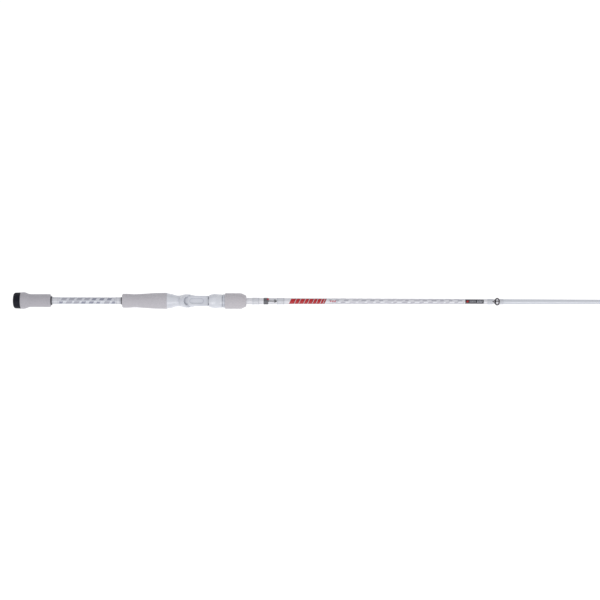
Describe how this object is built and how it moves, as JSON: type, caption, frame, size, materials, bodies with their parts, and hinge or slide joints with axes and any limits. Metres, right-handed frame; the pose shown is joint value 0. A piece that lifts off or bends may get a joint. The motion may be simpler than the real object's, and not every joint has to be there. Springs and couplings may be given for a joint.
{
  "type": "casting rod",
  "caption": "One-piece casting rod with foam grips, a trigger reel seat with a screw-down sliding hood, a hook keeper, ceramic line guides and a tip top.",
  "frame": {"origin": "centre of the butt cap's flat end face, on the blank's axis", "axes": "+X along the blank to the tip, +Z to the side that carries the reel and the guides, +Y across"},
  "size_m": [2.1336, 0.0268, 0.0469],
  "materials": {
    "foam": "fine closed-cell foam, sanded",
    "cap_rubber": "matte, ribbed",
    "check_ring": "satin",
    "blank_lacquer": "gloss lacquer over a grey block pattern",
    "pale_thread": "fine thread under clear resin",
    "dark_thread": "fine thread under clear resin",
    "seat_plastic": "satin pearl",
    "arbor": "foam bush",
    "clip_steel": "spring wire",
    "dark_metal": "dark satin",
    "guide_metal": "gunmetal",
    "ceramic": "polished ceramic"
  },
  "bodies": {
    "rod": {"butt_cap": "cap_rubber", "butt_grip": "foam", "butt_check_ring": "check_ring", "butt_trim_wrap": "pale_thread", "rod_blank": "blank_lacquer", "rear_trim_wrap": "pale_thread", "rear_check_ring": "check_ring", "rear_grip": "foam", "reel_seat_body": "seat_plastic", "seat_arbors": "arbor", "fore_trim_wrap": "pale_thread", "hook_keeper": "dark_metal", "keeper_rear_wrap": "dark_thread", "keeper_front_wrap": "pale_thread", "guide_1_frame": "guide_metal", "guide_1_ring": "ceramic", "guide_1_wrap": "pale_thread", "guide_2_frame": "guide_metal", "guide_2_ring": "ceramic", "guide_2_wrap": "pale_thread", "guide_3_frame": "guide_metal", "guide_3_ring": "ceramic", "guide_3_wrap": "pale_thread", "guide_4_frame": "guide_metal", "guide_4_ring": "ceramic", "guide_4_wrap": "pale_thread", "guide_5_frame": "guide_metal", "guide_5_ring": "ceramic", "guide_5_wrap": "pale_thread", "guide_6_frame": "guide_metal", "guide_6_ring": "ceramic", "guide_6_wrap": "pale_thread", "guide_7_frame": "guide_metal", "guide_7_ring": "ceramic", "guide_7_wrap": "pale_thread", "guide_8_frame": "guide_metal", "guide_8_ring": "ceramic", "guide_8_wrap": "pale_thread", "guide_9_frame": "guide_metal", "guide_9_ring": "ceramic", "guide_9_wrap": "pale_thread", "tip_top_frame": "guide_metal", "tip_top_ring": "ceramic", "tip_top_wrap": "pale_thread"},
    "hood": {"sliding_hood": "seat_plastic", "hood_clip_ring": "clip_steel"},
    "nut": {"lock_nut": "seat_plastic", "fore_grip": "foam"}
  },
  "joints": [
    {"name": "hood_slide", "type": "slide", "parent": "rod", "child": "hood", "axis": [1, 0, 0], "range_m": [-0.0016, 0.012]},
    {"name": "nut_turn", "type": "hinge", "parent": "hood", "child": "nut", "pos_m": [0.3354, 0, 0], "axis": [1, 0, 0], "range_deg": [-288, 2160]}
  ],
  "couplings": [
    {"joint": "hood_slide", "follows": "nut_turn", "m_per_rad": 0.00031831}
  ]
}
